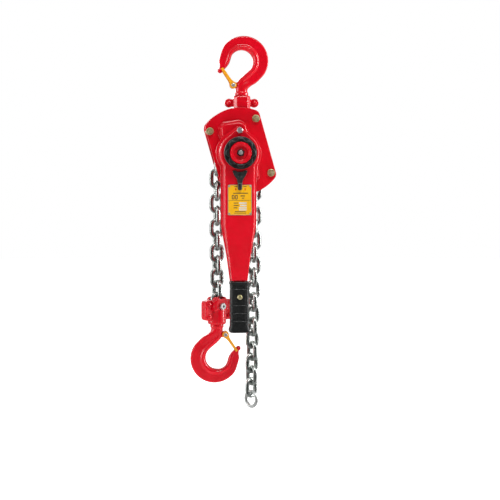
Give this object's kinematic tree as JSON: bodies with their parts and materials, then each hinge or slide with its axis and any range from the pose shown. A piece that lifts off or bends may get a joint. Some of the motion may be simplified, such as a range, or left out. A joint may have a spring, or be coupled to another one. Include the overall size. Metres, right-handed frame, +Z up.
{
  "type": "lever chain hoist",
  "caption": "Lever chain hoist with swivel top hook, load brake, ratchet lever with grip, hand wheel, geared load sheave, riveted load block with swivel hook, and slack chain.",
  "frame": {"origin": "seat of the top hook, the highest point inside its bowl, where a beam clamp or shackle carries the hoist", "axes": "+Z up along the load line, +Y from the hand wheel and lever side to the gear cover side, +X to the right seen from the lever side"},
  "size_m": [0.193, 0.195, 0.8426],
  "materials": {
    "red_paint": "glossy powder coat",
    "black_rubber": "matt moulded rubber",
    "black_plastic": "satin",
    "zinc_chain": "galvanised chain",
    "zinc_steel": "bright zinc plate",
    "yellow_zinc": "yellow passivated zinc",
    "dark_steel": "oiled dark steel",
    "amber_steel": "satin",
    "lining": "friction lining",
    "yellow_plate": "printed aluminium plate"
  },
  "bodies": {
    "top_hook": {"top_hook": "red_paint"},
    "top_latch": {"top_latch": "amber_steel", "top_latch_pin": "zinc_steel", "top_latch_spring": "zinc_steel"},
    "top_yoke": {"top_yoke_front": "red_paint", "top_yoke_rear": "red_paint", "top_yoke_rivet_left": "red_paint", "top_yoke_rivet_right": "red_paint"},
    "frame": {"front_side_plate": "red_paint", "rear_side_plate": "red_paint", "top_hook_pin": "zinc_steel", "stay_bolt_1": "yellow_zinc", "stay_bolt_2": "yellow_zinc", "stay_bolt_3": "yellow_zinc", "stay_nut_1": "yellow_zinc", "stay_nut_2": "yellow_zinc", "stay_nut_3": "yellow_zinc", "chain_guide": "dark_steel", "gear_cover": "red_paint", "brake_cover": "red_paint", "brake_pawl_pin": "zinc_steel", "sheave_bearing_front": "dark_steel", "sheave_bearing_rear": "dark_steel"},
    "load_sheave": {"load_sheave": "dark_steel", "load_gear": "dark_steel", "sheave_chain": "zinc_chain"},
    "pinion_shaft": {"pinion_shaft": "dark_steel", "friction_hub": "dark_steel", "friction_disc_inner": "lining", "friction_disc_outer": "lining", "ratchet_disc": "dark_steel", "change_gear": "dark_steel", "hand_wheel_grip": "black_rubber", "hand_wheel_hub": "red_paint", "wheel_nut": "dark_steel"},
    "second_gear_1": {"second_gear_1": "dark_steel"},
    "second_gear_2": {"second_gear_2": "dark_steel"},
    "brake_pawl": {"brake_pawl": "dark_steel"},
    "lever": {"lever_front": "red_paint", "lever_rear": "red_paint", "lever_bolt": "zinc_steel", "grip": "black_rubber", "grip_screw": "zinc_steel", "name_plate": "yellow_plate"},
    "selector": {"selector": "black_plastic", "selector_pawl": "dark_steel"},
    "load_chain": {"load_chain": "zinc_chain", "block_front": "red_paint", "block_rear": "red_paint", "block_rivet_1": "red_paint", "block_rivet_2": "red_paint", "block_rivet_3": "red_paint", "block_rivet_4": "red_paint", "chain_bolt": "zinc_steel"},
    "load_hook": {"load_hook": "red_paint"},
    "load_latch": {"load_latch": "amber_steel", "load_latch_pin": "zinc_steel", "load_latch_spring": "zinc_steel"},
    "slack_chain": {"slack_chain": "zinc_chain", "chain_stop_ring": "zinc_steel"}
  },
  "joints": [
    {"name": "top_latch_hinge", "type": "hinge", "parent": "top_hook", "child": "top_latch", "pos_m": [-0.019, 0, -0.0777], "axis": [0, 1, 0], "range_deg": [0, 50], "stiffness_Nm_per_rad": 0.02, "springref_deg": -34.38},
    {"name": "top_swivel", "type": "hinge", "parent": "top_hook", "child": "top_yoke", "pos_m": [0, 0, -0.1], "axis": [0, 0, 1], "continuous": true},
    {"name": "frame_tilt", "type": "hinge", "parent": "top_yoke", "child": "frame", "pos_m": [0, 0, -0.1529], "axis": [0, 1, 0], "range_deg": [0, 25]},
    {"name": "sheave_turn", "type": "hinge", "parent": "frame", "child": "load_sheave", "pos_m": [-0.013, 0, -0.2309], "axis": [0, 1, 0], "range_deg": [-72, 72]},
    {"name": "load_strand_travel", "type": "slide", "parent": "frame", "child": "load_chain", "axis": [0, 0, 1], "range_m": [-0.0561, 0.0561]},
    {"name": "slack_strand_travel", "type": "slide", "parent": "frame", "child": "slack_chain", "axis": [0, 0, 1], "range_m": [-0.0561, 0.0561]},
    {"name": "second_gear_1_turn", "type": "hinge", "parent": "frame", "child": "second_gear_1", "pos_m": [-0.02382, 0, -0.19239], "axis": [0, 1, 0], "range_deg": [-217, 217]},
    {"name": "second_gear_2_turn", "type": "hinge", "parent": "frame", "child": "second_gear_2", "pos_m": [-0.00218, 0, -0.26941], "axis": [0, 1, 0], "range_deg": [-217, 217]},
    {"name": "hand_wheel_turn", "type": "hinge", "parent": "frame", "child": "pinion_shaft", "pos_m": [-0.013, 0, -0.2309], "axis": [0, 1, 0], "range_deg": [-650, 650]},
    {"name": "brake_pawl_pivot", "type": "hinge", "parent": "frame", "child": "brake_pawl", "pos_m": [-0.0385, 0, -0.1764], "axis": [0, 1, 0], "range_deg": [-6, 20]},
    {"name": "lever_swing", "type": "hinge", "parent": "frame", "child": "lever", "pos_m": [-0.013, 0, -0.2309], "axis": [0, 1, 0], "continuous": true},
    {"name": "selector_turn", "type": "hinge", "parent": "lever", "child": "selector", "pos_m": [-0.013, 0, -0.2825], "axis": [0, 1, 0], "range_deg": [-25, 25]},
    {"name": "load_hook_swivel", "type": "hinge", "parent": "load_chain", "child": "load_hook", "pos_m": [-0.05609, 0, -0.6169], "axis": [0, 0, 1], "continuous": true},
    {"name": "load_latch_hinge", "type": "hinge", "parent": "load_hook", "child": "load_latch", "pos_m": [-0.03709, 0, -0.6404], "axis": [0, 1, 0], "range_deg": [0, 50], "stiffness_Nm_per_rad": 0.02, "springref_deg": -34.38}
  ],
  "couplings": [
    {"joint": "load_strand_travel", "follows": "sheave_turn", "m_per_rad": 0.044563},
    {"joint": "slack_strand_travel", "follows": "sheave_turn", "m_per_rad": -0.044563},
    {"joint": "second_gear_1_turn", "follows": "sheave_turn", "ratio": -3},
    {"joint": "second_gear_2_turn", "follows": "sheave_turn", "ratio": -3},
    {"joint": "hand_wheel_turn", "follows": "sheave_turn", "ratio": 9}
  ]
}
